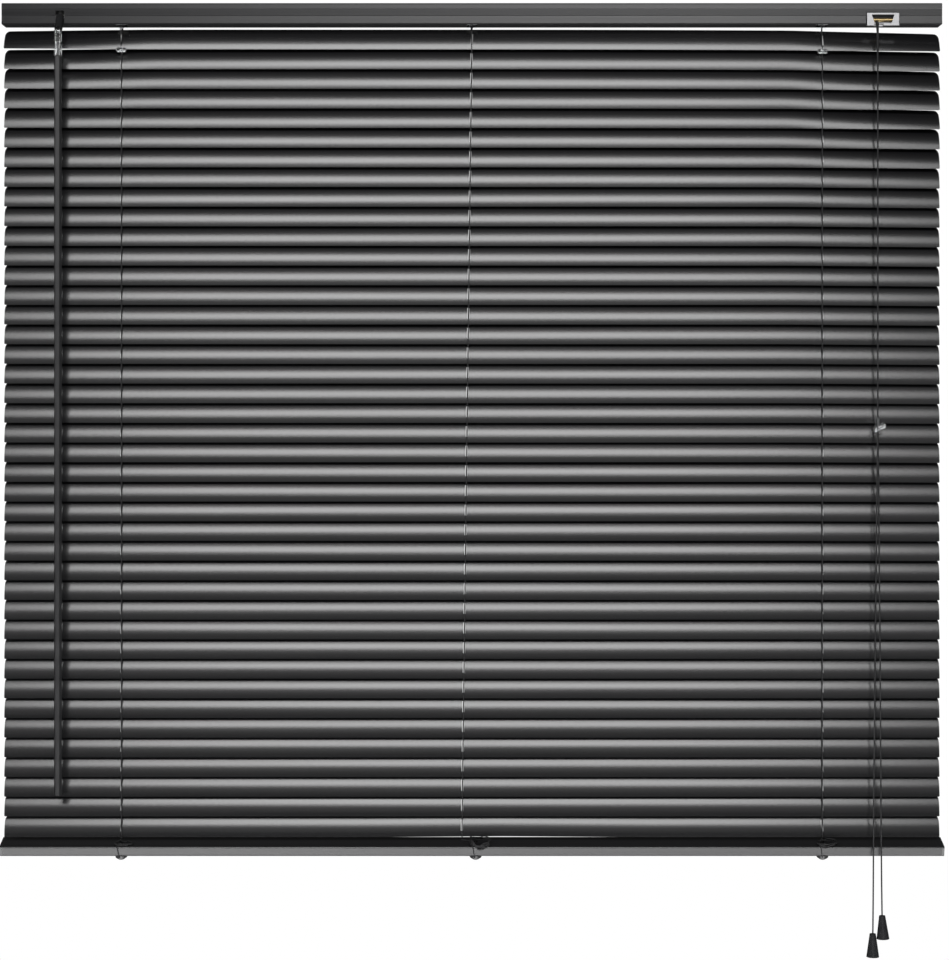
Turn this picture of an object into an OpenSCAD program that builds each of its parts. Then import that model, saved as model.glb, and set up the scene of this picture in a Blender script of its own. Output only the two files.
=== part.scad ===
// Venetian blind, 1000 mm wide, with 41 aluminium slats of 25 mm.
// Origin: centre of the headrail's back face. +X is right as seen from the room,
// -Y points into the room and +Z is up. All sizes are in millimetres.

/* [Parts] */
// Which part to build, or all of them

/* [Headrail] */
// Width of the headrail
headrail_w = 1000; // [960:10:1040]
// Depth of the headrail, back to front
headrail_d = 25; // [24:0.5:30]
// Height of the headrail
headrail_h = 22.5; // [20:0.5:30]
// Wall thickness of the rolled channel
headrail_wall = 0.6; // [0.5:0.1:1.2]

/* [Slats] */
// Length of each slat
slat_l = 998; // [950:1:1040]
// Width of each slat, from edge to edge across its crown
slat_w = 24; // [20:0.5:27]
// Rise of the crown across a slat
slat_crown = 1.7; // [0.5:0.1:3]
// Thickness of a slat
slat_t = 0.3; // [0.2:0.05:0.6]
// Width of the slots that the lift cords pass through
slot_w = 1.9; // [1.6:0.1:6]
// Distance from slat to slat
slat_pitch = 21; // [18:0.5:24]
// Tilt of the slats at rest, front edge down
slat_tilt = 73; // [0:1:75]
// Height of the first slat's axis below the headrail's middle
first_slat_drop = 24.6; // [24:0.1:40]

/* [Ladders and cords] */
// Distance from the middle ladder to each outer one
ladder_x = 374; // [300:2:420]
// How far the middle ladder drifts left on its way down
mid_drift = 10.7; // [0:0.1:12]
// Diameter of a ladder string
string_d = 0.9; // [0.6:0.1:1.4]
// Diameter of a lift cord
lift_d = 1.2; // [1:0.1:2]
// Diameter of a pull cord
pull_d = 1.6; // [1.2:0.1:2.2]

/* [Tilter and wand] */
// Distance of the wand from the middle, to the left
wand_x = 438; // [400:1:460]
// Length of the wand's hexagonal rod
wand_l = 782; // [500:2:850]
// Width of the wand across its flats
wand_af = 7; // [6:0.5:9]

/* [Bottom rail] */
// Height of the bottom rail
rail_h = 11.2; // [8:0.2:14]
// Width of the bottom rail, back to front
rail_w = 25; // [20:0.5:28]
// Length of the bottom rail between its end plugs' flanges
rail_l = 1000; // [960:10:1040]
// Tilt of the bottom rail at rest, front edge down
rail_tilt = 15; // [0:1:20]

/* [Hidden] */
slat_count = 41;
$fn = 48;
axis_y = -headrail_d / 2;
rod_z = -2;
ladders = [-ladder_x, 0, ladder_x];
last_slat_z = -first_slat_drop - (slat_count - 1) * slat_pitch;
// how far the front and rear ladder strings run from a slat's axis
front_reach = slat_w / 2 + 1.9;
rear_reach = slat_w / 2 + 4;
// height of the crown's top above the axis that a slat tilts about
crown_above = slat_crown - 0.35;
rail_z = last_slat_z - 23.4;
plug_y = -5.5;
edge = 0.01;
cut = 1;

// headrail section
lip_in = 3.4;
lip_drop = 2;
// each band of the front leans out to its lower edge, and the next one starts set back
upper_step_z = 5.3;
lower_step_z = -2.1;
step_half = 0.3;
top_set = 0.3;
mid_set = 0.45;
mid_out = 0.25;
low_set = 0.55;
corner_r = 1.2;

// tilter
lean = 33;
ball_y = -36;
ball_z = -22;
ball_r = 2.6;
neck_r = 1.3;
shaft_r = 1.9;
worm_r = 2.8;
worm_at = 29.6;
worm_half = 3.5;
wheel_r = 5.5;
wheel_teeth = 12;
snout_r = 4.2;
snout_from = 5;
snout_to = 23;
rod_af = 5;

// cord lock
lock_x = 437;
lock_w = 34;
lock_top = 0.5;
lock_h = 13.3;
bezel_t = 1.2;
lock_back = -8.6;
lock_floor = -10.5;
exit_x = 430.6;
roller_y = -22.4;
roller_z = -6.6;
roller_r = 2.4;

// pull cords and what hangs on them
pull_y = -30;
joiner_z = -439.6;
tassel_h = 24.4;
tassel_top_d = 6.5;
tassel_bottom_d = 13.4;
right_tassel_z = -957.8;
left_tassel_z = -976.9;

black = [0.035, 0.035, 0.038];
clear = [0.85, 0.87, 0.88];
steel = [0.72, 0.73, 0.74];
brass = [0.75, 0.6, 0.32];

// ---------- helpers ----------

// Lays a section drawn as (y, z) along X, centred on x = 0.
module along_x(l) {
    rotate([90, 0, 90])
        translate([0, 0, -l / 2])
            linear_extrude(l)
                children();
}

module rod_x(r, l) {
    rotate([0, 90, 0])
        cylinder(h = l, r = r, center = true);
}

module block(from, to) {
    translate(from)
        cube(to - from);
}

// Runs +Z up the tilter's leaning shaft, starting at the ball.
module on_lean() {
    translate([-wand_x, ball_y, ball_z])
        rotate([-lean, 0, 0])
            children();
}

function unit(v) = v / norm(v);

function tangent(p, i) =
    unit(p[min(i + 1, len(p) - 1)] - p[max(i - 1, 0)]);

// Directions across a route, kept clear of the world X axis or Y axis.
function side(t) = unit(cross(t, abs(t[1]) > 0.9 ? [1, 0, 0] : [0, 1, 0]));

// A round tube of 8 sides swept along the route p.
module tube(p, d) {
    n = 8;
    rings = [
        for (i = [0 : len(p) - 1])
            let (t = tangent(p, i), a = side(t), b = cross(t, a))
            for (k = [0 : n - 1])
                p[i] + d / 2 * (cos(360 * k / n) * a + sin(360 * k / n) * b)
    ];
    walls = [
        for (i = [0 : len(p) - 2], k = [0 : n - 1])
            let (m = (k + 1) % n)
            [i * n + k, (i + 1) * n + k, (i + 1) * n + m, i * n + m]
    ];
    first = [for (k = [0 : n - 1]) k];
    last = [for (k = [n - 1 : -1 : 0]) (len(p) - 1) * n + k];
    polyhedron(points = rings, faces = concat(walls, [first], [last]), convexity = 6);
}

// ---------- headrail ----------

module channel_section() {
    d = headrail_d;
    h = headrail_h / 2;
    t = headrail_wall;
    r = corner_r;
    polygon([
        [-d + top_set + lip_in, h - lip_drop],
        [-d + top_set + lip_in, h],
        [-d + top_set + r, h],
        [-d + top_set, h - r],
        [-d, upper_step_z + step_half],
        [-d + mid_set, upper_step_z - step_half],
        [-d + mid_out, lower_step_z + step_half],
        [-d + low_set, lower_step_z - step_half],
        [-d, -h + r],
        [-d + r, -h],
        [-r, -h],
        [0, -h + r],
        [0, h - r],
        [-r, h],
        [-lip_in, h],
        [-lip_in, h - lip_drop],
        [-lip_in + t, h - lip_drop],
        [-lip_in + t, h - t],
        [-r - t / 2, h - t],
        [-t, h - r - t / 2],
        [-t, -h + r + t / 2],
        [-r - t / 2, -h + t],
        [-d + r + t / 2, -h + t],
        [-d + t, -h + r + t / 2],
        [-d + low_set + t, lower_step_z - step_half],
        [-d + mid_out + t, lower_step_z + step_half],
        [-d + mid_set + t, upper_step_z - step_half],
        [-d + t, upper_step_z + step_half],
        [-d + top_set + t, h - r - t / 2],
        [-d + top_set + r + t / 2, h - t],
        [-d + top_set + lip_in - t, h - t],
        [-d + top_set + lip_in - t, h - lip_drop],
    ]);
}

module headrail() {
    h = headrail_h / 2;
    color(black)
        difference() {
            along_x(headrail_w)
                channel_section();
            // holes for the ladders and cradle lugs
            for (x = ladders)
                block([x - 6, axis_y - 7.5, -h - cut], [x + 6, axis_y + 7.5, -h + 2 * cut]);
            // notch for the tilter's snout
            block([-wand_x - 4.6, -headrail_d - cut, -h - cut], [-wand_x + 4.6, -22, 3.2]);
            // hole for the cord lock, and the gap round its bezel
            block(
                [lock_x - lock_w / 2 - 1, -headrail_d - cut, -h - cut],
                [lock_x + lock_w / 2 + 1, -headrail_d + 1.6, lock_top + 1.5]
            );
            block([lock_x - 15, -headrail_d - cut, -h - cut], [lock_x + 15, -17, -1]);
        }
}

// ---------- tilter ----------

module tilter_housing() {
    color(black)
        difference() {
            union() {
                for (s = [-1, 1])
                    translate([-wand_x + s * 6.2, 0, 0])
                        along_x(2)
                            polygon([
                                [-21.8, -10.4],
                                [-2, -10.4],
                                [-2, 7],
                                [-6, 10],
                                [-19, 10],
                                [-23.4, 5],
                                [-23.4, 3.4],
                                [-21.8, 3.4],
                            ]);
                // back wall and floor that join the two cheeks
                block([-wand_x - 7, -3.6, -10.4], [-wand_x + 7, -2, 7]);
                block([-wand_x - 7, -21.8, -10.4], [-wand_x + 7, -2, -9]);
                // bridge that carries the snout
                block([-wand_x - 7.2, -21.8, -10.4], [-wand_x + 7.2, -19.5, -4.4]);
                // journal block over the worm's upper end
                on_lean()
                    translate([-6, -3, worm_at + worm_half + 0.4])
                        cube([12, 6, 2.6]);
                // snout around the worm's shaft
                on_lean()
                    translate([0, 0, snout_from])
                        cylinder(h = snout_to - snout_from, r = snout_r);
            }
            // hub bore in each cheek
            translate([-wand_x, axis_y, rod_z])
                rod_x(3.6, 20);
            // bore for the worm's shaft
            on_lean()
                cylinder(h = worm_at, r = shaft_r + 0.05);
            // upper journal bore
            on_lean()
                translate([0, 0, worm_at + worm_half])
                    cylinder(h = 6, r = neck_r + 0.05);
        }
}

module tilter_worm() {
    color([0.12, 0.12, 0.12])
        on_lean()
            union() {
                sphere(r = ball_r);
                cylinder(h = snout_from, r = neck_r);
                translate([0, 0, snout_from - 0.5])
                    cylinder(h = worm_at - worm_half - snout_from + 1, r = shaft_r);
                translate([0, 0, worm_at - worm_half])
                    cylinder(h = 2 * worm_half, r = worm_r - 0.6);
                // thread ridges
                for (k = [-2 : 2])
                    translate([0, 0, worm_at + k * 1.4 - 0.35])
                        cylinder(h = 0.7, r = worm_r);
                cylinder(h = worm_at + worm_half + 2.6, r = neck_r);
            }
}

module hex_rod_x(af, l) {
    rotate([0, 90, 0])
        cylinder(h = l, r = af / 2 / cos(30), center = true, $fn = 6);
}

module tilt_rod() {
    left = -wand_x - 9;
    right = ladder_x + 14;
    color(steel)
        translate([(left + right) / 2, axis_y, rod_z])
            hex_rod_x(rod_af, right - left);
}

// A hub on the hexagonal rod.
module hub(r, l) {
    difference() {
        rod_x(r, l);
        hex_rod_x(rod_af + 0.1, l + 2);
    }
}

module rod_drums() {
    color([0.9, 0.9, 0.88]) {
        for (x = ladders)
            translate([x, axis_y, rod_z])
                difference() {
                    union() {
                        rod_x(3.4, 17);
                        for (s = [-1, 1])
                            translate([s * 4.2, 0, 0])
                                rod_x(5, 1);
                    }
                    hex_rod_x(rod_af + 0.1, 20);
                }
        // worm wheel
        translate([-wand_x, axis_y, rod_z])
            difference() {
                union() {
                    rod_x(3.5, 15);
                    rod_x(wheel_r - 1.2, 7);
                    for (k = [0 : wheel_teeth - 1])
                        rotate([k * 360 / wheel_teeth, 0, 0])
                            block([-3.5, -0.45, 0], [3.5, 0.45, wheel_r]);
                }
                hex_rod_x(rod_af + 0.1, 20);
            }
    }
}

module drum_cradles() {
    floor_z = -headrail_h / 2 + headrail_wall;
    color(clear)
        for (x = ladders)
            translate([x, 0, 0])
                difference() {
                    union() {
                        for (s = [-1, 1]) {
                            // cheek with an open notch for the drum's hub
                            translate([s * 7.4, 0, 0])
                                along_x(1.8)
                                    polygon([
                                        [axis_y - 9, floor_z + 0.05],
                                        [axis_y + 9, floor_z + 0.05],
                                        [axis_y + 8, 3],
                                        [axis_y - 8, 3],
                                    ]);
                            // sill along the ladder hole, with a lug through it
                            block(
                                [-8.3, axis_y + s * 8.2 - 0.8, floor_z + 0.05],
                                [8.3, axis_y + s * 8.2 + 0.8, floor_z + 1.4]
                            );
                            block(
                                [-5, axis_y + s * 7.2 - 0.2, -headrail_h / 2 - 1.4],
                                [5, axis_y + s * 7.2 + 0.2, floor_z + 1.4]
                            );
                        }
                    }
                    translate([0, axis_y, rod_z])
                        rod_x(3.45, 30);
                    block([-20, axis_y - 3.45, rod_z], [20, axis_y + 3.45, 20]);
                    // gate for the lift cords that pass along the channel
                    block([-20, axis_y - 3.6, -20], [20, axis_y + 3.6, -8]);
                }
}

// ---------- cord lock ----------

module cord_lock_body() {
    h = headrail_h / 2;
    bottom = lock_top - lock_h;
    color(steel)
        difference() {
            union() {
                // bezel plate in front of the headrail
                block(
                    [lock_x - lock_w / 2, -headrail_d - bezel_t, bottom],
                    [lock_x + lock_w / 2, -headrail_d - 0.02, lock_top]
                );
                // lip under the headrail
                block(
                    [lock_x - lock_w / 2, -headrail_d - bezel_t, bottom],
                    [lock_x + lock_w / 2, -19, -h - 0.02]
                );
                // cheeks behind the bezel
                for (s = [-1, 1])
                    translate([lock_x + s * 13.9, 0, 0])
                        along_x(1.8)
                            polygon([
                                [-headrail_d - bezel_t, bottom],
                                [-17.6, bottom],
                                [-17.6, lock_floor],
                                [lock_back, lock_floor],
                                [lock_back, -1.2],
                                [-headrail_d - bezel_t, -1.2],
                            ]);
                // back plate
                block(
                    [lock_x - 14.8, lock_back - 1, lock_floor],
                    [lock_x + 14.8, lock_back, -1.2]
                );
            }
            // trapezoid window
            rotate([90, 0, 0])
                translate([lock_x, 0, headrail_d - 1])
                    linear_extrude(4)
                        polygon([
                            [-12, -1.2],
                            [12, -1.2],
                            [9, -10.4],
                            [-9, -10.4],
                        ]);
            // slot under the roller where the cords leave
            block(
                [exit_x - 3, -headrail_d - 2, bottom - cut],
                [exit_x + 7, -20, -9.6]
            );
            // roller pin bores
            translate([lock_x, roller_y, roller_z])
                rod_x(1.05, 40);
            // hole where the lift cords come in
            block([lock_x - 20, -16, lock_floor - cut], [lock_x - 10, -9.7, -8.4]);
        }
}

module cord_lock_roller() {
    color(brass)
        translate([lock_x, roller_y, roller_z])
            union() {
                rod_x(1, 29);
                rod_x(roller_r - 0.5, 24);
                for (k = [-5 : 5])
                    translate([k * 2.2, 0, 0])
                        rod_x(roller_r, 1.2);
            }
}

// ---------- wand ----------

module wand_sleeve() {
    top = 2.4;
    color(clear)
        translate([-wand_x, ball_y, ball_z])
            difference() {
                translate([0, 0, -24])
                    cylinder(h = 24 + top, r = 4);
                sphere(r = ball_r + 0.4);
                // flared mouth that lets the ball's neck lean
                cylinder(h = top + edge, r1 = 0.6, r2 = 3.5);
                translate([0, 0, -25])
                    cylinder(h = 14, r = 2.05);
                // pocket that keeps the wand's head
                translate([0, 0, -13])
                    cylinder(h = 4, r = 2.9);
            }
}

module tilt_wand() {
    top = ball_z - 25;
    color(black)
        translate([-wand_x, ball_y, top])
            union() {
                translate([0, 0, -wand_l])
                    cylinder(h = wand_l, r = wand_af / 2 / cos(30), $fn = 6);
                cylinder(h = 15, r = 2);
                translate([0, 0, 12.6])
                    cylinder(h = 2.6, r = 2.7);
            }
}

// ---------- slats ----------

slat_r = (slat_w * slat_w / 4 + slat_crown * slat_crown) / (2 * slat_crown);
slat_half = asin(slat_w / 2 / slat_r);

// Point of the crown's curve at a fraction from -1 (front) to 1 (back).
function crown_point(f, lift) = [
    (slat_r + lift) * sin(f * slat_half),
    (slat_r + lift) * cos(f * slat_half) - slat_r + crown_above
];

module slat_section() {
    n = 4;
    polygon(concat(
        [for (k = [-n : n]) crown_point(k / n, 0)],
        [for (k = [n : -1 : -n]) crown_point(k / n, -slat_t)]
    ));
}

// Outline from above, with the back corners more rounded than the front ones.
module slat_outline() {
    l = slat_l / 2;
    w = slat_w / 2;
    along = 4.7;
    across = 8.5;
    front = 1;
    polygon(concat(
        [for (a = [0 : 22.5 : 90]) [l - along + along * cos(a), w - across + across * sin(a)]],
        [for (a = [90 : 22.5 : 180]) [-l + along + along * cos(a), w - across + across * sin(a)]],
        [[-l, -w + front], [-l + front, -w], [l - front, -w], [l, -w + front]]
    ));
}

module slat(number) {
    z = -first_slat_drop - (number - 1) * slat_pitch;
    slots = [-ladder_x, -mid_drift * (number - 1) / (slat_count - 1), ladder_x];
    color(black)
        translate([0, axis_y, z])
            rotate([slat_tilt, 0, 0])
                difference() {
                    intersection() {
                        along_x(slat_l + 2)
                            slat_section();
                        translate([0, 0, -4])
                            linear_extrude(8)
                                slat_outline();
                    }
                    for (x = slots)
                        block([x - slot_w / 2, -6.4, -4], [x + slot_w / 2, 6.2, 4]);
                }
}

// ---------- bottom rail ----------

module rail_section(grow) {
    w = rail_w / 2 + grow;
    h = rail_h / 2 + grow;
    r = 1.4;
    b = 1.6;
    polygon(concat(
        [for (a = [0 : 22.5 : 90]) [w - r + r * cos(a), h - r + r * sin(a)]],
        [for (a = [90 : 22.5 : 180]) [-w + r + r * cos(a), h - r + r * sin(a)]],
        [[-w, -h + b], [-w + b, -h], [w - b, -h], [w, -h + b]]
    ));
}

module on_rail() {
    translate([0, axis_y, rail_z])
        rotate([rail_tilt, 0, 0])
            children();
}

module bottom_rail() {
    color(black)
        on_rail()
            difference() {
                along_x(rail_l)
                    rail_section(0);
                // open ends that take the end plugs
                for (s = [-1, 1])
                    translate([s * rail_l / 2, 0, 0])
                        along_x(24)
                            rail_section(-0.7);
                for (x = [-ladder_x, mid_hole_x, ladder_x]) {
                    // hole for the lift cord
                    translate([x, 0, 0])
                        cylinder(h = 10, r = 2.4);
                    // socket for the ladder plug
                    translate([x, plug_y, -10])
                        cylinder(h = 8, r = 4);
                }
            }
}

module bottom_rail_plugs() {
    color(black)
        on_rail()
            union() {
                for (s = [-1, 1]) {
                    // flange outside, body inside
                    translate([s * (rail_l / 2 + 1.2), 0, 0])
                        along_x(2.4)
                            rail_section(0);
                    translate([s * (rail_l / 2 - 5.4), 0, 0])
                        along_x(11)
                            rail_section(-0.8);
                }
                for (x = [-ladder_x, mid_hole_x, ladder_x])
                    translate([x, plug_y, 0]) {
                        translate([0, 0, -rail_h / 2 - 3.2])
                            cylinder(h = 3.2, r = 6.2);
                        translate([0, 0, -rail_h / 2 - 5.2])
                            cylinder(h = 2.1, r1 = 3.8, r2 = 6);
                        translate([0, 0, -rail_h / 2 - 1])
                            cylinder(h = 3.6, r = 3.95);
                    }
            }
}

// ---------- ladders and cords ----------

// Strings on one side of the slats. toward is -1 for the front and 1 for the rear.
module ladder_strings(toward, reach, top_cut) {
    dy = toward * reach * cos(slat_tilt);
    dz = toward * reach * sin(slat_tilt);
    top = -first_slat_drop + dz + 0.5 - top_cut;
    bottom = last_slat_z + dz - 0.5;
    color(black)
        for (x = ladders) {
            drift = x == 0 ? atan(mid_drift / (top - bottom)) : 0;
            translate([x, axis_y + dy, top])
                rotate([0, drift, 0])
                    translate([0, 0, bottom - top])
                        cylinder(h = top - bottom, r = string_d / 2, $fn = 8);
        }
}

module ladder_front_strings() {
    ladder_strings(-1, front_reach, 0);
}

module ladder_rear_strings() {
    ladder_strings(1, rear_reach, 6);
}

run_z = -9.7;
mid_hole_x = 4;
lock_face_x = 425;
lift_bottom = rail_z + 2.5;

// A lift cord comes up from the rail's hole, passes the last slat and turns along the channel.
module lift_cord(x, y, low_x, hole_x) {
    tube([
        [hole_x, axis_y, lift_bottom],
        [hole_x, axis_y, rail_z + 8],
        [low_x, axis_y, last_slat_z - 8],
        [(x + low_x) / 2, axis_y, -440],
        [x, axis_y, -20],
        [x, axis_y + 0.25 * (y - axis_y), -13.5],
        [x + 1, axis_y + 0.5 * (y - axis_y), -11],
        [x + 3, y, run_z],
        [x + 6, y, run_z],
        [lock_face_x, y, run_z],
    ], lift_d);
}

module lift_cords() {
    color(black) {
        lift_cord(-ladder_x, -14.5, -ladder_x, -ladder_x);
        lift_cord(0, -10.5, -mid_drift, mid_hole_x);
        lift_cord(ladder_x, -12.5, ladder_x, ladder_x);
    }
}

left_route = [
    [exit_x - 0.9, -25, -8.6],
    [exit_x - 0.9, -26.7, -10.2],
    [exit_x - 0.85, -28.2, -13],
    [exit_x - 0.6, -29.9, -20],
    [exit_x - 0.15, pull_y - 0.85, -60],
    [exit_x - 0.1, pull_y - 0.85, -250],
    [exit_x - 0.15, pull_y - 0.85, -420],
    [exit_x - 0.2, pull_y - 0.85, -448],
    [429.7, pull_y - 0.7, -500],
    [427.6, pull_y, -700],
    [426.2, pull_y, -850],
    [425.7, pull_y, -940],
    [425.4, pull_y, -970],
    [425.2, pull_y, -980],
];

right_route = [
    [exit_x + 0.9, -25, -8.6],
    [exit_x + 0.9, -26.5, -10.2],
    [exit_x + 0.85, -27.4, -13],
    [exit_x + 0.6, -28.5, -20],
    [exit_x + 0.15, pull_y + 0.85, -60],
    [exit_x + 0.2, pull_y + 0.85, -250],
    [exit_x + 0.15, pull_y + 0.85, -420],
    [exit_x + 0.2, pull_y + 0.85, -448],
    [431.6, pull_y + 0.7, -500],
    [433.2, pull_y, -700],
    [434, pull_y, -850],
    [434.6, pull_y, -920],
    [435, pull_y, -950],
    [435.2, pull_y, -961],
];

module pull_cord_left() {
    color(black)
        tube(left_route, pull_d);
}

module pull_cord_right() {
    color(black)
        tube(right_route, pull_d);
}

module tassel(x, z, lean_x) {
    translate([x, pull_y, z])
        rotate([0, lean_x, 0])
            difference() {
                translate([0, 0, -tassel_h])
                    cylinder(h = tassel_h, d1 = tassel_bottom_d, d2 = tassel_top_d);
                // bore for the cord and its knot
                translate([0, 0, -8])
                    cylinder(h = 9, r = 1.3);
                translate([0, 0, -tassel_h - edge])
                    cylinder(h = tassel_h - 8, d1 = tassel_bottom_d - 2.4, d2 = 5);
            }
}

module cord_tassels() {
    color(black) {
        tassel(425.2, left_tassel_z, 0);
        tassel(435.2, right_tassel_z, -2);
    }
}

module cord_joiner() {
    color(clear)
        translate([exit_x, pull_y - 0.3, joiner_z])
            difference() {
                union() {
                    translate([2, 0, -0.4])
                        rotate([0, 62, 0])
                            cylinder(h = 12.6, r = 2.9, center = true);
                    translate([-0.4, 0, 1])
                        cylinder(h = 9, r = 2.9);
                }
                // passage for the two cords, one behind the other
                block([-1.3, -1.5, -15], [1.3, 2.1, 15]);
            }
}

// ---------- one module for each slat ----------

module slat_01() {
    slat(1);
}

module slat_02() {
    slat(2);
}

module slat_03() {
    slat(3);
}

module slat_04() {
    slat(4);
}

module slat_05() {
    slat(5);
}

module slat_06() {
    slat(6);
}

module slat_07() {
    slat(7);
}

module slat_08() {
    slat(8);
}

module slat_09() {
    slat(9);
}

module slat_10() {
    slat(10);
}

module slat_11() {
    slat(11);
}

module slat_12() {
    slat(12);
}

module slat_13() {
    slat(13);
}

module slat_14() {
    slat(14);
}

module slat_15() {
    slat(15);
}

module slat_16() {
    slat(16);
}

module slat_17() {
    slat(17);
}

module slat_18() {
    slat(18);
}

module slat_19() {
    slat(19);
}

module slat_20() {
    slat(20);
}

module slat_21() {
    slat(21);
}

module slat_22() {
    slat(22);
}

module slat_23() {
    slat(23);
}

module slat_24() {
    slat(24);
}

module slat_25() {
    slat(25);
}

module slat_26() {
    slat(26);
}

module slat_27() {
    slat(27);
}

module slat_28() {
    slat(28);
}

module slat_29() {
    slat(29);
}

module slat_30() {
    slat(30);
}

module slat_31() {
    slat(31);
}

module slat_32() {
    slat(32);
}

module slat_33() {
    slat(33);
}

module slat_34() {
    slat(34);
}

module slat_35() {
    slat(35);
}

module slat_36() {
    slat(36);
}

module slat_37() {
    slat(37);
}

module slat_38() {
    slat(38);
}

module slat_39() {
    slat(39);
}

module slat_40() {
    slat(40);
}

module slat_41() {
    slat(41);
}

headrail();
tilter_housing();
tilter_worm();
tilt_rod();
rod_drums();
drum_cradles();
cord_lock_body();
cord_lock_roller();
wand_sleeve();
tilt_wand();
pull_cord_left();
pull_cord_right();
cord_tassels();
cord_joiner();
bottom_rail();
bottom_rail_plugs();
ladder_front_strings();
ladder_rear_strings();
lift_cords();
slat_01();
slat_02();
slat_03();
slat_04();
slat_05();
slat_06();
slat_07();
slat_08();
slat_09();
slat_10();
slat_11();
slat_12();
slat_13();
slat_14();
slat_15();
slat_16();
slat_17();
slat_18();
slat_19();
slat_20();
slat_21();
slat_22();
slat_23();
slat_24();
slat_25();
slat_26();
slat_27();
slat_28();
slat_29();
slat_30();
slat_31();
slat_32();
slat_33();
slat_34();
slat_35();
slat_36();
slat_37();
slat_38();
slat_39();
slat_40();
slat_41();
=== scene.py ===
"""Looks of the venetian blind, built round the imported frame.

Metres. +X is right as seen from the room, -Y points into the room, +Z is up,
and the origin is the centre of the headrail's back face.
"""

import math
import random

import bmesh
import bpy
from mathutils import Matrix, Vector


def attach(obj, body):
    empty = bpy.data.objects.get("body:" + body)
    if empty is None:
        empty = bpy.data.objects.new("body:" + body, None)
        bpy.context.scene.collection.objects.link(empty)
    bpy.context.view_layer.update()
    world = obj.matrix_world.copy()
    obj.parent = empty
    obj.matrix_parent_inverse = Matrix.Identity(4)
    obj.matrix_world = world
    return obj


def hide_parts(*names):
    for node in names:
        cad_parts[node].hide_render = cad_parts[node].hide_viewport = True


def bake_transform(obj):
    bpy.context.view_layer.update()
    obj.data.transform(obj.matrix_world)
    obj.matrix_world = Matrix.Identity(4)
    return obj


MM = 0.001

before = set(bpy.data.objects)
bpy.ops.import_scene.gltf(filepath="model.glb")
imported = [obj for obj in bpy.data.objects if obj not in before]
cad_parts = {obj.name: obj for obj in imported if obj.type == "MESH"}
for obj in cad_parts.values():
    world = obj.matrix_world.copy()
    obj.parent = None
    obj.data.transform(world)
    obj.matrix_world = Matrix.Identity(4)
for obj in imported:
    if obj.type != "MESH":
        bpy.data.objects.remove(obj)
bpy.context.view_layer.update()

# Driving sizes, as part.scad has them.
AXIS_Y = -12.5 * MM
SLAT_COUNT = 41
SLAT_LENGTH = 998 * MM
SLAT_WIDTH = 24 * MM
SLAT_CROWN = 1.7 * MM
SLAT_THICK = 0.3 * MM
SLAT_PITCH = 21 * MM
SLAT_TILT = math.radians(73)
FIRST_SLAT_Z = -24.6 * MM
LAST_SLAT_Z = FIRST_SLAT_Z - (SLAT_COUNT - 1) * SLAT_PITCH
RAIL_Z = LAST_SLAT_Z - 23.4 * MM
RAIL_TILT = math.radians(15)
RAIL_HALF_H = 5.6 * MM
RAIL_HALF_W = 12.5 * MM
LADDER_X = 374 * MM
MID_DRIFT = 10.7 * MM
FRONT_REACH = 13.9 * MM
REAR_REACH = 16 * MM
REAR_TOP_CUT = 6 * MM
STRING_R = 0.45 * MM
RUNG_R = 0.3 * MM
LIFT_R = 0.6 * MM
PULL_D = 1.6 * MM
RAIL_HOLES = (-LADDER_X, 4 * MM, LADDER_X)
LIFT_RUN_Z = -9.7
LOCK_FACE_X = 425 * MM
FLOOR_Z = -1.62


# ---------- camera ----------

CAMERA_AWAY = 2.4
CAMERA_X = 2.8 * MM
CAMERA_Z = -400.2 * MM
HEADRAIL_FRONT = -25 * MM
FOCAL_LENGTH = 84.67
HORIZON_SHIFT = -90 / 960


def make_camera():
    """Level, straight in front, with the shift that puts the horizon above the middle."""
    data = bpy.data.cameras.new("camera")
    data.lens = FOCAL_LENGTH
    data.sensor_width = 36
    data.shift_y = HORIZON_SHIFT
    cam = bpy.data.objects.new("camera", data)
    cam.location = (CAMERA_X, HEADRAIL_FRONT - CAMERA_AWAY, CAMERA_Z)
    cam.rotation_euler = (math.radians(90), 0, 0)
    bpy.context.scene.collection.objects.link(cam)
    bpy.context.scene.camera = cam


make_camera()


# ---------- materials ----------


def new_material(name, colour, rough, metal=0.0, **sockets):
    """A Principled material, with its node tree's handles."""
    m = bpy.data.materials.new(name)
    m.use_nodes = True
    m.diffuse_color = (*colour, 1)
    shader = m.node_tree.nodes["Principled BSDF"]
    shader.inputs["Base Color"].default_value = (*colour, 1)
    shader.inputs["Roughness"].default_value = rough
    shader.inputs["Metallic"].default_value = metal
    for key, value in sockets.items():
        shader.inputs[key.replace("_", " ")].default_value = value
    return m, m.node_tree.nodes, m.node_tree.links, shader


def add_noise(nodes, links, scale, detail=2.0, stretch=(1, 1, 1)):
    """Noise in the object's own space, drawn out along an axis by stretch."""
    where = nodes.new("ShaderNodeTexCoord")
    mapping = nodes.new("ShaderNodeMapping")
    mapping.inputs["Scale"].default_value = stretch
    noise = nodes.new("ShaderNodeTexNoise")
    noise.inputs["Scale"].default_value = scale
    noise.inputs["Detail"].default_value = detail
    links.new(where.outputs["Object"], mapping.inputs["Vector"])
    links.new(mapping.outputs["Vector"], noise.inputs["Vector"])
    return noise


def add_bump(nodes, links, shader, height, strength, distance):
    """Raises the surface by a 0 to 1 output."""
    bump = nodes.new("ShaderNodeBump")
    bump.inputs["Strength"].default_value = strength
    bump.inputs["Distance"].default_value = distance
    links.new(height, bump.inputs["Height"])
    links.new(bump.outputs["Normal"], shader.inputs["Normal"])


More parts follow.
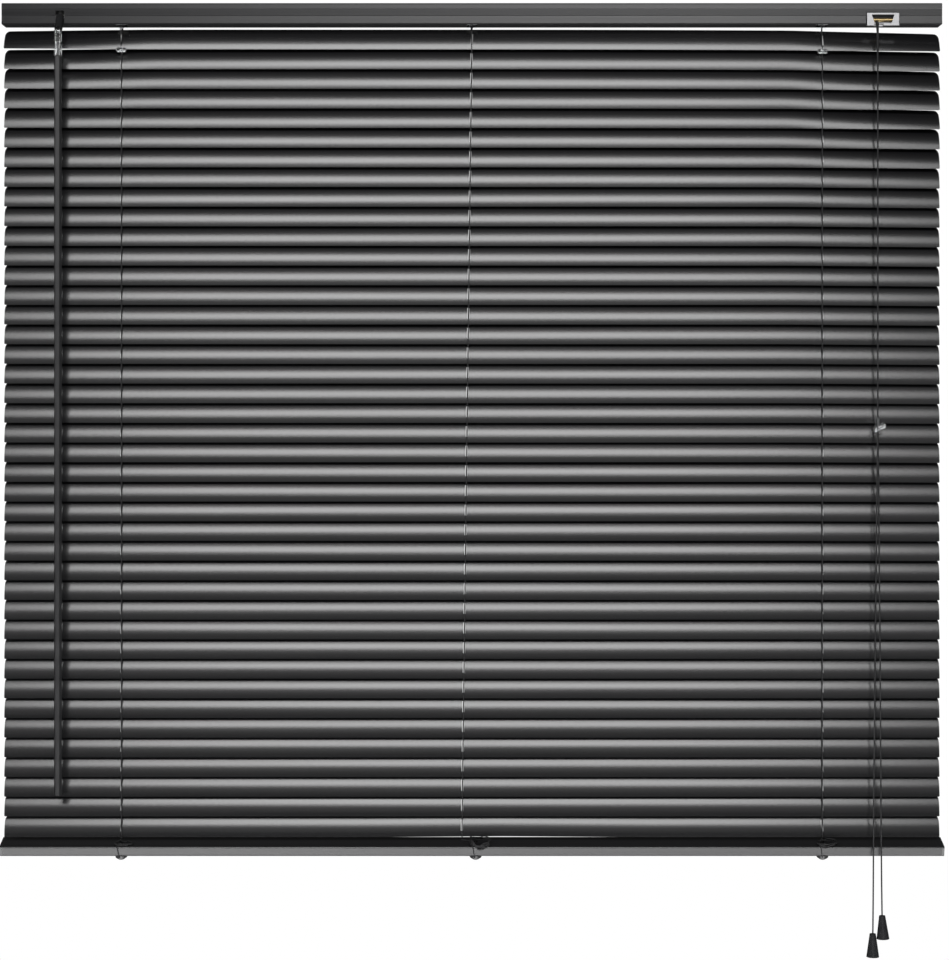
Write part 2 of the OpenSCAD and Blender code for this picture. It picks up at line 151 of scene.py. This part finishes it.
def spread(nodes, links, source, low, high, target):
    """Maps a 0 to 1 output onto a range of a socket."""
    ramp = nodes.new("ShaderNodeMapRange")
    ramp.inputs["From Min"].default_value = 0.3
    ramp.inputs["From Max"].default_value = 0.7
    ramp.inputs["To Min"].default_value = low
    ramp.inputs["To Max"].default_value = high
    links.new(source, ramp.inputs["Value"])
    links.new(ramp.outputs["Result"], target)


def tint(nodes, links, source, low, high, shader):
    """Mixes two colours by a 0 to 1 output, into the base colour."""
    ramp = nodes.new("ShaderNodeValToRGB")
    ramp.color_ramp.elements[0].position = 0.3
    ramp.color_ramp.elements[0].color = (*low, 1)
    ramp.color_ramp.elements[1].position = 0.7
    ramp.color_ramp.elements[1].color = (*high, 1)
    links.new(source, ramp.inputs["Fac"])
    links.new(ramp.outputs["Color"], shader.inputs["Base Color"])


def slat_paint():
    """Baked satin enamel on coiled strip: very fine lines along the strip and a faint orange peel."""
    m, nodes, links, shader = new_material(
        "slat_paint", (0.006, 0.006, 0.006), 0.24, Specular_IOR_Level=0.5
    )
    lines = add_noise(nodes, links, 60, 3, (0.05, 12, 12))
    spread(nodes, links, lines.outputs["Fac"], 0.23, 0.25, shader.inputs["Roughness"])
    tint(nodes, links, lines.outputs["Fac"], (0.0055, 0.0055, 0.006), (0.0065, 0.0065, 0.007), shader)
    peel = add_noise(nodes, links, 500, 1)
    add_bump(nodes, links, shader, peel.outputs["Fac"], 0.08, 0.0001)
    return m


def rail_paint(name, painted_sheen_left, painted_sheen_right):
    """Satin enamel on roll-formed steel; its reflection strength changes along the strip, a painted sheen
    that stands in for light falling more strongly towards one end.
    """
    m, nodes, links, shader = new_material(name, (0.01, 0.01, 0.011), 0.3)
    where = nodes.new("ShaderNodeTexCoord")
    split = nodes.new("ShaderNodeSeparateXYZ")
    links.new(where.outputs["Object"], split.inputs["Vector"])
    # Painted sheen: the reflection strength runs from one end of the strip to the other in place of
    # uneven light.
    along = nodes.new("ShaderNodeMapRange")
    along.inputs["From Min"].default_value = -0.5
    along.inputs["From Max"].default_value = 0.5
    along.inputs["To Min"].default_value = painted_sheen_left
    along.inputs["To Max"].default_value = painted_sheen_right
    links.new(split.outputs["X"], along.inputs["Value"])
    links.new(along.outputs["Result"], shader.inputs["Specular IOR Level"])
    lines = add_noise(nodes, links, 50, 3, (0.04, 10, 10))
    spread(nodes, links, lines.outputs["Fac"], 0.28, 0.34, shader.inputs["Roughness"])
    tint(nodes, links, lines.outputs["Fac"], (0.008, 0.008, 0.009), (0.013, 0.013, 0.014), shader)
    peel = add_noise(nodes, links, 420, 1)
    add_bump(nodes, links, shader, peel.outputs["Fac"], 0.1, 0.0001)
    return m


def plastic(name, colour, rough, peel_strength=0.08):
    """Moulded plastic, a little uneven in gloss and colour."""
    m, nodes, links, shader = new_material(name, colour, rough, Specular_IOR_Level=0.5)
    cloud = add_noise(nodes, links, 90, 2)
    spread(nodes, links, cloud.outputs["Fac"], rough * 0.85, rough * 1.15, shader.inputs["Roughness"])
    darker = tuple(c * 0.85 for c in colour)
    tint(nodes, links, cloud.outputs["Fac"], darker, colour, shader)
    add_bump(nodes, links, shader, cloud.outputs["Fac"], peel_strength, 0.0001)
    return m


def clear_plastic():
    """Clear moulded plastic with faint flow marks."""
    m, nodes, links, shader = new_material(
        "clear_plastic", (0.95, 0.97, 0.98), 0.04, IOR=1.49, Transmission_Weight=1.0
    )
    cloud = add_noise(nodes, links, 160, 2)
    spread(nodes, links, cloud.outputs["Fac"], 0.02, 0.08, shader.inputs["Roughness"])
    add_bump(nodes, links, shader, cloud.outputs["Fac"], 0.1, 0.0001)
    return m


def metal(name, colour, rough, along=(1, 1, 1)):
    """Plated or drawn metal, with fine lines along one axis."""
    m, nodes, links, shader = new_material(name, colour, rough, 1.0)
    lines = add_noise(nodes, links, 400, 3, along)
    spread(nodes, links, lines.outputs["Fac"], rough * 0.8, rough * 1.25, shader.inputs["Roughness"])
    darker = tuple(c * 0.8 for c in colour)
    tint(nodes, links, lines.outputs["Fac"], darker, colour, shader)
    add_bump(nodes, links, shader, lines.outputs["Fac"], 0.15, 0.0001)
    return m


def braid():
    """Braided polyester: two sets of fine bands that cross round the cord."""
    m, nodes, links, shader = new_material("braid", (0.008, 0.008, 0.009), 0.6, Specular_IOR_Level=0.3)
    where = nodes.new("ShaderNodeTexCoord")
    heights = []
    for lean_way in (1, -1):
        mapping = nodes.new("ShaderNodeMapping")
        mapping.inputs["Rotation"].default_value = (0, lean_way * 0.6, 0)
        wave = nodes.new("ShaderNodeTexWave")
        wave.wave_type = "BANDS"
        wave.bands_direction = "Z"
        wave.inputs["Scale"].default_value = 350
        wave.inputs["Distortion"].default_value = 0.4
        links.new(where.outputs["Object"], mapping.inputs["Vector"])
        links.new(mapping.outputs["Vector"], wave.inputs["Vector"])
        heights.append(wave.outputs["Fac"])
    both = nodes.new("ShaderNodeMath")
    both.operation = "MAXIMUM"
    links.new(heights[0], both.inputs[0])
    links.new(heights[1], both.inputs[1])
    tint(nodes, links, both.outputs["Value"], (0.004, 0.004, 0.004), (0.014, 0.014, 0.015), shader)
    add_bump(nodes, links, shader, both.outputs["Value"], 0.5, 0.0002)
    return m


SLAT_PAINT = slat_paint()
# Painted sheen: the headrail reflects more towards the right and the bottom rail a little less, standing
# in for uneven light along them.
HEADRAIL_PAINT = rail_paint("headrail_paint", 0.1, 0.42)
RAIL_PAINT = rail_paint("rail_paint", 0.5, 0.4)
BLACK_PLASTIC = plastic("black_plastic", (0.014, 0.014, 0.015), 0.22)
GREY_PLASTIC = plastic("grey_plastic", (0.03, 0.03, 0.03), 0.3)
WAND_PLASTIC = plastic("wand_plastic", (0.016, 0.016, 0.017), 0.4)
WHITE_PLASTIC = plastic("white_plastic", (0.72, 0.71, 0.68), 0.35)
CLEAR = clear_plastic()
ZINC = metal("zinc", (0.4, 0.4, 0.41), 0.4, (1, 8, 8))
BRASS = metal("brass", (0.4, 0.3, 0.15), 0.36, (8, 1, 1))
BRAID = braid()

CAD_MATERIALS = {
    "headrail": HEADRAIL_PAINT,
    "tilter_housing": BLACK_PLASTIC,
    "tilter_worm": GREY_PLASTIC,
    "tilt_rod": ZINC,
    "rod_drums": WHITE_PLASTIC,
    "drum_cradles": CLEAR,
    "cord_lock_body": ZINC,
    "cord_lock_roller": BRASS,
    "wand_sleeve": CLEAR,
    "tilt_wand": WAND_PLASTIC,
    "cord_tassels": BLACK_PLASTIC,
    "cord_joiner": CLEAR,
    "bottom_rail": RAIL_PAINT,
    "bottom_rail_plugs": BLACK_PLASTIC,
}


def paint(obj, material):
    """Gives a CAD node its one material."""
    obj.data.materials.clear()
    obj.data.materials.append(material)


for node_name, node_material in CAD_MATERIALS.items():
    paint(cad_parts[node_name], node_material)


# ---------- small builders ----------


def add_object(name, data, body, material):
    obj = bpy.data.objects.new(name, data)
    bpy.context.scene.collection.objects.link(obj)
    data.materials.append(material)
    if body:
        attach(obj, body)
    return obj


def mesh_from(bm, name, sharp_degrees=35):
    """Turns a bmesh into a smooth-shaded mesh with its hard edges kept."""
    data = bpy.data.meshes.new(name)
    bmesh.ops.recalc_face_normals(bm, faces=bm.faces)
    bm.to_mesh(data)
    bm.free()
    data.shade_smooth()
    data.set_sharp_from_angle(angle=math.radians(sharp_degrees))
    return data


def smooth_path(points, steps=6):
    """Catmull-Rom points through a route, ends included."""
    p = [Vector(q) for q in points]
    p = [2 * p[0] - p[1]] + p + [2 * p[-1] - p[-2]]
    made = []
    for a, b, c, d in zip(p, p[1:], p[2:], p[3:]):
        for k in range(steps):
            t = k / steps
            made.append(
                0.5 * (2 * b + (c - a) * t + (2 * a - 5 * b + 4 * c - d) * t * t
                       + (3 * b - a - 3 * c + d) * t * t * t)
            )
    made.append(p[-2])
    return made


def sweep(bm, path, radius, sides=10):
    """A closed tube along path, added to bm."""
    rings = []
    up = Vector((0, 1, 0))
    for i, here in enumerate(path):
        ahead = (path[min(i + 1, len(path) - 1)] - path[max(i - 1, 0)]).normalized()
        across = ahead.cross(up)
        if across.length < 0.2:
            across = ahead.cross(Vector((1, 0, 0)))
        across.normalize()
        up = across.cross(ahead).normalized()
        rings.append([
            bm.verts.new(here + radius * (math.cos(a) * across + math.sin(a) * up))
            for a in (2 * math.pi * k / sides for k in range(sides))
        ])
    for one, two in zip(rings, rings[1:]):
        for k in range(sides):
            j = (k + 1) % sides
            bm.faces.new((one[k], one[j], two[j], two[k]))
    bm.faces.new(list(reversed(rings[0])))
    bm.faces.new(rings[-1])


def tubes(name, paths, radius, body, material=None, sides=10):
    """One object of several swept tubes."""
    bm = bmesh.new()
    for path in paths:
        sweep(bm, path, radius, sides)
    return add_object(name, mesh_from(bm, name, 60), body, material or BRAID)


def ladder_at(z):
    """The three ladders' places along X at a height; the middle one drifts left on its way down."""
    share = min(1, max(0, (FIRST_SLAT_Z - z) / (FIRST_SLAT_Z - LAST_SLAT_Z)))
    return -LADDER_X, -MID_DRIFT * share, LADDER_X


# ---------- pull cords, first of the pieces ----------

EXIT_X = 430.6
PULL_Y = -30

LEFT_ROUTE = [
    (EXIT_X - 0.9, -25, -8.6),
    (EXIT_X - 0.9, -26.7, -10.2),
    (EXIT_X - 0.85, -28.2, -13),
    (EXIT_X - 0.6, -29.9, -20),
    (EXIT_X - 0.15, PULL_Y - 0.85, -60),
    (EXIT_X - 0.1, PULL_Y - 0.85, -250),
    (EXIT_X - 0.15, PULL_Y - 0.85, -420),
    (EXIT_X - 0.2, PULL_Y - 0.85, -448),
    (429.7, PULL_Y - 0.7, -500),
    (427.6, PULL_Y, -700),
    (426.2, PULL_Y, -850),
    (425.7, PULL_Y, -940),
    (425.4, PULL_Y, -970),
    (425.2, PULL_Y, -980),
]
RIGHT_ROUTE = [
    (EXIT_X + 0.9, -25, -8.6),
    (EXIT_X + 0.9, -26.5, -10.2),
    (EXIT_X + 0.85, -27.4, -13),
    (EXIT_X + 0.6, -28.5, -20),
    (EXIT_X + 0.15, PULL_Y + 0.85, -60),
    (EXIT_X + 0.2, PULL_Y + 0.85, -250),
    (EXIT_X + 0.15, PULL_Y + 0.85, -420),
    (EXIT_X + 0.2, PULL_Y + 0.85, -448),
    (431.6, PULL_Y + 0.7, -500),
    (433.2, PULL_Y, -700),
    (434, PULL_Y, -850),
    (434.6, PULL_Y, -920),
    (435, PULL_Y, -950),
    (435.2, PULL_Y, -961),
]


def pull_cord(name, route, node):
    """One pull cord on its route, with a point in the middle of each long stretch."""
    path = [Vector(route[0]) * MM]
    for a, b in zip(route, route[1:]):
        start, end = Vector(a) * MM, Vector(b) * MM
        if (end - start).length > 60 * MM:
            path.append((start + end) / 2)
        path.append(end)
    obj = tubes(name, [path], PULL_D / 2, "pull_cords", sides=12)
    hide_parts(node)


pull_cord("pull_cord_left_braid", LEFT_ROUTE, "pull_cord_left")
pull_cord("pull_cord_right_braid", RIGHT_ROUTE, "pull_cord_right")


# ---------- slats ----------

SLOT_X = 0.95 * MM
SLOT_FRONT = -6.4
SLOT_BACK = 6.2
SLAT_ROWS = [
    -12, -11.7, -11, -9, -7.6, SLOT_FRONT, -6, -4, -2, 0, 2, 4, 5.8, SLOT_BACK,
    7.2, 8.2, 9.1, 9.9, 10.6, 11.2, 11.6, 12,
]


def crown_at(u):
    """Height of the crown's arc at a distance u from the slat's middle line."""
    radius = ((SLAT_WIDTH / 2) ** 2 + SLAT_CROWN**2) / (2 * SLAT_CROWN)
    return math.sqrt(radius**2 - u**2) - radius + SLAT_CROWN - 0.35 * MM


def end_inset(u):
    """How far the rounded end is from the full length at u; the back (+u) corner is rounder."""
    along, across = (4.7 * MM, 8.5 * MM) if u > 0 else (1 * MM, 1 * MM)
    beyond = min(1, max(0, abs(u) - (SLAT_WIDTH / 2 - across)) / across)
    return along - along * math.sqrt(max(0, 1 - beyond * beyond))


def slat_columns(slots):
    """Places along X for the grid: even, and on each slot's edges."""
    half = SLAT_LENGTH / 2
    xs = [-half + SLAT_LENGTH * k / 90 for k in range(91)]
    for s in slots:
        xs = [x for x in xs if abs(x - s) > 6 * MM]
        xs += [s - SLOT_X, s - SLOT_X * 0.6, s + SLOT_X * 0.6, s + SLOT_X, s - 5 * MM, s + 5 * MM]
    return sorted(xs)


def hang(number, x):
    """How far the strip hangs low at x, and how much less closed it is there.

    The top slats carry the others' ladders and never close fully, and the free ends droop.
    """
    top = math.exp(-(number - 1) / 5)
    low = 0.9 * MM * top
    ease = math.radians(3.5) if number == 1 else 0
    high_half = max(0, 1 - (number - 1) / 34)
    across = min(1, max(0, x / LADDER_X)) ** 2
    low += 1.2 * MM * top * across
    if number == SLAT_COUNT:
        low += 0.2 * MM + 0.9 * MM * min(1, abs(x - 35 * MM) / (150 * MM))
    end = max(0, abs(x) - 340 * MM) / (SLAT_LENGTH / 2 - 340 * MM)
    if x > 0:
        low += 2.3 * MM * high_half * end
        odd = 1 if number % 2 else 0.75
        ease += math.radians(11.5) * odd * math.exp(-max(0, number - 5) / 3) * end
    else:
        low += 0.3 * MM * math.exp(-(number - 1) / 3) * end
        ease += math.radians(12) * math.exp(-(number - 1) / 2.2) * end
    return low, ease


def make_slat(number, rng):
    """One slat: a crowned strip with slots, which bends and twists a little as real strip does."""
    z = FIRST_SLAT_Z - (number - 1) * SLAT_PITCH
    slots = ladder_at(z)
    columns = slat_columns(slots)
    half = SLAT_LENGTH / 2
    wave = [(rng.uniform(-1, 1), rng.uniform(2.0, 6.0), rng.uniform(0, 6.3)) for _ in range(3)]
    twist = math.radians(rng.uniform(-0.7, 0.7))
    lean_in = math.radians(rng.uniform(-0.6, 0.6))
    bm = bmesh.new()
    grid = []
    for x in columns:
        line = []
        warp = sum(a * math.sin(f * x / half + p) for a, f, p in wave) * 0.12 * MM
        low, ease = hang(number, x)
        turn = Matrix.Rotation(SLAT_TILT + twist * x / half + lean_in - ease, 3, "X")
        for row in SLAT_ROWS:
            u = row * MM
            at = x - math.copysign(end_inset(u), x) if abs(x) > half - 0.1 * MM else x
            point = turn @ Vector((at, u, crown_at(u) + warp))
            line.append(bm.verts.new(point + Vector((0, AXIS_Y, z - low))))
        grid.append(line)
    for i in range(len(columns) - 1):
        middle = (columns[i] + columns[i + 1]) / 2
        off = min(abs(middle - s) for s in slots)
        for j in range(len(SLAT_ROWS) - 1):
            centre = (SLAT_ROWS[j] + SLAT_ROWS[j + 1]) / 2
            inset = 0.4 if off > SLOT_X * 0.6 else 0
            if off < SLOT_X and SLOT_FRONT + inset < centre < SLOT_BACK - inset:
                continue
            bm.faces.new((grid[i][j], grid[i + 1][j], grid[i + 1][j + 1], grid[i][j + 1]))
    bmesh.ops.delete(bm, geom=[v for v in bm.verts if not v.link_faces], context="VERTS")
    bmesh.ops.recalc_face_normals(bm, faces=bm.faces)
    bmesh.ops.solidify(bm, geom=bm.faces[:], thickness=SLAT_THICK)
    name = f"slat_{number:02d}"
    obj = add_object(name + "_strip", mesh_from(bm, name, 40), name, SLAT_PAINT)
    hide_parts(name)


slat_rng = random.Random(7)
for slat_number in range(1, SLAT_COUNT + 1):
    make_slat(slat_number, slat_rng)


# ---------- ladders ----------


def slat_point(z, u, w):
    """A point of a slat's own section, in the frame."""
    c, s = math.cos(SLAT_TILT), math.sin(SLAT_TILT)
    return AXIS_Y + u * c - w * s, z + u * s + w * c


def make_rungs(number):
    """The three cross strings that a slat lies on, under its section."""
    z = FIRST_SLAT_Z - (number - 1) * SLAT_PITCH - hang(number, 0)[0]
    paths = []
    for x in ladder_at(z):
        section = [
            (-FRONT_REACH / MM, -1.2), (-12.4, -1.5), (-11, -1.7), (0, -0.9),
            (11, -1.7), (12.4, -1.6), (REAR_REACH / MM, -0.8),
        ]
        path = [Vector((x + 0.5 * MM, *slat_point(z, u * MM, w * MM))) for u, w in section]
        paths.append(path)
    tubes(f"rungs_{number:02d}", paths, RUNG_R, f"slat_{number:02d}", sides=6)


for slat_number in range(1, SLAT_COUNT + 1):
    make_rungs(slat_number)


def string_ends(side):
    """(y, top z, bottom z) of the strings on one side: -1 is the front, 1 the rear."""
    reach = FRONT_REACH if side < 0 else REAR_REACH
    dz = side * reach * math.sin(SLAT_TILT)
    cut = REAR_TOP_CUT if side > 0 else 0
    top = FIRST_SLAT_Z + dz + 0.5 * MM - cut
    return AXIS_Y + side * reach * math.cos(SLAT_TILT), top, LAST_SLAT_Z + dz - 0.5 * MM


def string_path(side, index, rng):
    """One ladder string, pulled in a little by each rung."""
    y, top, bottom = string_ends(side)
    path = []
    steps = (SLAT_COUNT - 1) * 4
    for k in range(steps + 1):
        z = top + (bottom - top) * k / steps
        pull = -0.3 * MM if k % 4 == 0 else 0
        path.append(Vector((ladder_at(z)[index] + rng.uniform(-0.12, 0.12) * MM, y + side * pull, z)))
    return path


string_rng = random.Random(3)
for side, body in ((-1, "ladder_front"), (1, "ladder_rear")):
    string_paths = [string_path(side, i, string_rng) for i in range(3)]
    strings = tubes(body + "_braid", string_paths, STRING_R, body, sides=8)
    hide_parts(body + "_strings")


def top_stretch(side, index):
    """From the headrail's hole to the string's top end."""
    x = ladder_at(0)[index]
    y, top, _ = string_ends(side)
    out = AXIS_Y + side * 5.4 * MM
    hole_x = x + side * MM
    path = smooth_path([(hole_x, out, -9 * MM), (hole_x, out, -11 * MM), (x, y, top)], 4)
    name = f"top_string_{index}_{'front' if side < 0 else 'rear'}"
    obj = tubes(name, [path], STRING_R, None, sides=8)
    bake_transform(obj)


for stretch in range(3):
    top_stretch(-1, stretch)
    top_stretch(1, stretch)


def lift_cord_path(index):
    """From the rail's hole, up past the slats, and along the channel to the lock."""
    z_top, z_low = -20 * MM, LAST_SLAT_Z - 8 * MM
    climb = 20
    xs = ladder_at(0)[index], ladder_at(z_low)[index]
    side_y = (-14.5, -10.5, -12.5)[index] * MM
    x = xs[0]
    hole = RAIL_HOLES[index]
    path = [
        Vector((hole, AXIS_Y, RAIL_Z + 2.5 * MM)),
        Vector((hole, AXIS_Y, RAIL_Z + 8 * MM)),
        Vector((xs[1], AXIS_Y, z_low)),
    ]
    path += [
        Vector((xs[1] + (x - xs[1]) * k / climb, AXIS_Y, z_low + (z_top - z_low) * k / climb))
        for k in range(1, climb + 1)
    ]
    turn = [(0, 0.25, -13.5), (1, 0.5, -11), (3, 1, LIFT_RUN_Z), (6, 1, LIFT_RUN_Z)]
    path += [
        Vector((x + dx * MM, AXIS_Y + share * (side_y - AXIS_Y), z * MM)) for dx, share, z in turn
    ]
    path.append(Vector((LOCK_FACE_X, side_y, LIFT_RUN_Z * MM)))
    return path


lift = tubes("lift_cords_braid", [lift_cord_path(i) for i in range(3)], LIFT_R, "headrail", sides=10)
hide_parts("lift_cords")


# ---------- loose pieces at the ladders ----------


def on_rail(x, v, w):
    """A point of the bottom rail's own section, in the frame."""
    c, s = math.cos(RAIL_TILT), math.sin(RAIL_TILT)
    return Vector((x, AXIS_Y + v * c - w * s, RAIL_Z + v * s + w * c))


def slack_loops(index, rng):
    """The spare end of the ladder, wound loosely on the rail, over its edge and into the plug."""
    hole = RAIL_HOLES[index]
    centre = hole + (3, 4.8, 4.4)[index] * MM
    turns = (2.5, 8.5, 6.5)[index]
    reach = (9.5, 11, 10.4)[index]
    depth = (5, 8.6, 7.4)[index]
    stack = (2, 5.4, 3.4)[index]
    steps = int(turns * 10)
    points = [on_rail(ladder_at(LAST_SLAT_Z)[index], -3.4 * MM, RAIL_HALF_H + 4.4 * MM)]
    for k in range(steps + 1):
        a = 2 * math.pi * k / 10 + 2.6
        wide = (reach + rng.uniform(-2.2, 0.9)) * MM
        deep = (depth + rng.uniform(-1.8, 0.8)) * MM
        v = -6.2 * MM + deep * math.sin(a)
        over = max(0, -v - RAIL_HALF_W + 0.4 * MM)
        points.append(on_rail(
            centre + wide * math.cos(a),
            max(v, -RAIL_HALF_W - 1.2 * MM),
            RAIL_HALF_H + (0.5 + stack * (k * 7 % steps) / steps + rng.uniform(0, 0.5)) * MM - 1.3 * over,
        ))
    edge_x = hole - 3 * MM
    points += [
        on_rail(edge_x, -RAIL_HALF_W + 0.6 * MM, RAIL_HALF_H + 1.0 * MM),
        on_rail(edge_x + 0.3 * MM, -RAIL_HALF_W - 0.6 * MM, RAIL_HALF_H - 1.4 * MM),
        on_rail(edge_x + 1.2 * MM, -RAIL_HALF_W - 0.6 * MM, -2.5 * MM),
        on_rail(edge_x + 2 * MM, -RAIL_HALF_W + 0.3 * MM, -RAIL_HALF_H - 1.2 * MM),
        on_rail(edge_x + 2.6 * MM, -RAIL_HALF_W + 1.6 * MM, -RAIL_HALF_H - 1.4 * MM),
    ]
    tubes(f"slack_loops_{index}", [smooth_path(points, 4)], STRING_R, "bottom_rail", sides=8)


def slat_stop(index):
    """A clear ring round the front string, under the first slat's edge."""
    ring_r, wall_r, flat, tall = 3.7 * MM, 1.9 * MM, 0.55, 1.3
    around, section = 28, 12
    x = ladder_at(0)[index]
    y = string_ends(-1)[0]
    low, _ = hang(1, x)
    middle = Vector((x, y, FIRST_SLAT_Z - low - 11.9 * MM))
    bm = bmesh.new()
    rings = []
    for k in range(around):
        a = 2 * math.pi * k / around
        out = Vector((math.cos(a), flat * math.sin(a), 0))
        ring = []
        for j in range(section):
            b = 2 * math.pi * j / section
            side = math.cos(b) * out + math.sin(b) * Vector((0, 0, tall))
            ring.append(bm.verts.new(middle + ring_r * out + wall_r * side))
        rings.append(ring)
    for one, two in zip(rings, rings[1:] + rings[:1]):
        for j in range(section):
            m = (j + 1) % section
            bm.faces.new((one[j], two[j], two[m], one[m]))
    data = mesh_from(bm, "slat_stop", 60)
    add_object(f"slat_stop_{index}", data, "slat_01", CLEAR)


loop_rng = random.Random(11)
for place in range(3):
    slack_loops(place, loop_rng)
slat_stop(0)
slat_stop(2)


# ---------- floor, world and lights ----------


def make_floor():
    """A plain pale floor below the blind."""
    bm = bmesh.new()
    corners = [(-4, -3), (4, -3), (4, 2.2), (-4, 2.2)]
    bm.faces.new([bm.verts.new((x, y, FLOOR_Z)) for x, y in corners])
    data = bpy.data.meshes.new("floor")
    bm.to_mesh(data)
    bm.free()
    m, nodes, links, shader = new_material("floor", (0.85, 0.85, 0.85), 0.8)
    cloud = add_noise(nodes, links, 2, 2)
    tint(nodes, links, cloud.outputs["Fac"], (0.83, 0.83, 0.83), (0.87, 0.87, 0.87), shader)
    data.materials.append(m)
    floor = bpy.data.objects.new("floor", data)
    bpy.context.scene.collection.objects.link(floor)


def make_world():
    """White where the camera looks past the blind, and dim for the light it sheds."""
    world = bpy.data.worlds.new("world")
    bpy.context.scene.world = world
    world.use_nodes = True
    nodes, links = world.node_tree.nodes, world.node_tree.links
    nodes.clear()
    out = nodes.new("ShaderNodeOutputWorld")
    mix = nodes.new("ShaderNodeMixShader")
    rays = nodes.new("ShaderNodeLightPath")
    dim = nodes.new("ShaderNodeBackground")
    dim.inputs["Color"].default_value = (1, 1, 1, 1)
    dim.inputs["Strength"].default_value = 0.05
    white = nodes.new("ShaderNodeBackground")
    white.inputs["Color"].default_value = (1, 1, 1, 1)
    white.inputs["Strength"].default_value = 1.0
    seen = nodes.new("ShaderNodeMath")
    seen.operation = "MAXIMUM"
    links.new(rays.outputs["Is Camera Ray"], seen.inputs[0])
    links.new(rays.outputs["Is Transmission Ray"], seen.inputs[1])
    links.new(seen.outputs["Value"], mix.inputs["Fac"])
    links.new(dim.outputs["Background"], mix.inputs[1])
    links.new(white.outputs["Background"], mix.inputs[2])
    links.new(mix.outputs["Shader"], out.inputs["Surface"])


def area_light(name, at, target, size, power):
    """A rectangular light at a place, turned to face a target."""
    data = bpy.data.lights.new(name, "AREA")
    data.shape = "RECTANGLE"
    data.size, data.size_y = size
    data.energy = power
    light = bpy.data.objects.new(name, data)
    light.location = at
    light.rotation_euler = (Vector(target) - Vector(at)).to_track_quat("-Z", "Y").to_euler()
    bpy.context.scene.collection.objects.link(light)


def make_lights():
    """A large key that gives each slat its highlight, two dim sides and a lift for the bottom rail."""
    centre = (0, 0, -0.45)
    away, rise = 6.0, math.radians(29)
    key_at = (-0.1, -away * math.cos(rise), centre[2] + away * math.sin(rise))
    area_light("key", key_at, centre, (3.2, 1.8), 245)
    area_light("front", (0, -6, 0.1), (0, 0, -0.1), (5, 1.6), 11)
    area_light("left", (-2.6, -1.6, 0.6), centre, (0.8, 0.8), 22)
    area_light("right", (2.6, -1.6, 0.6), centre, (0.8, 0.8), 14)
    area_light("rail_glow", (0, -0.85, -1.58), (0, 0, -0.89), (2.2, 0.4), 26)


make_floor()
make_world()
make_lights()
bpy.context.scene.view_settings.view_transform = "Standard"
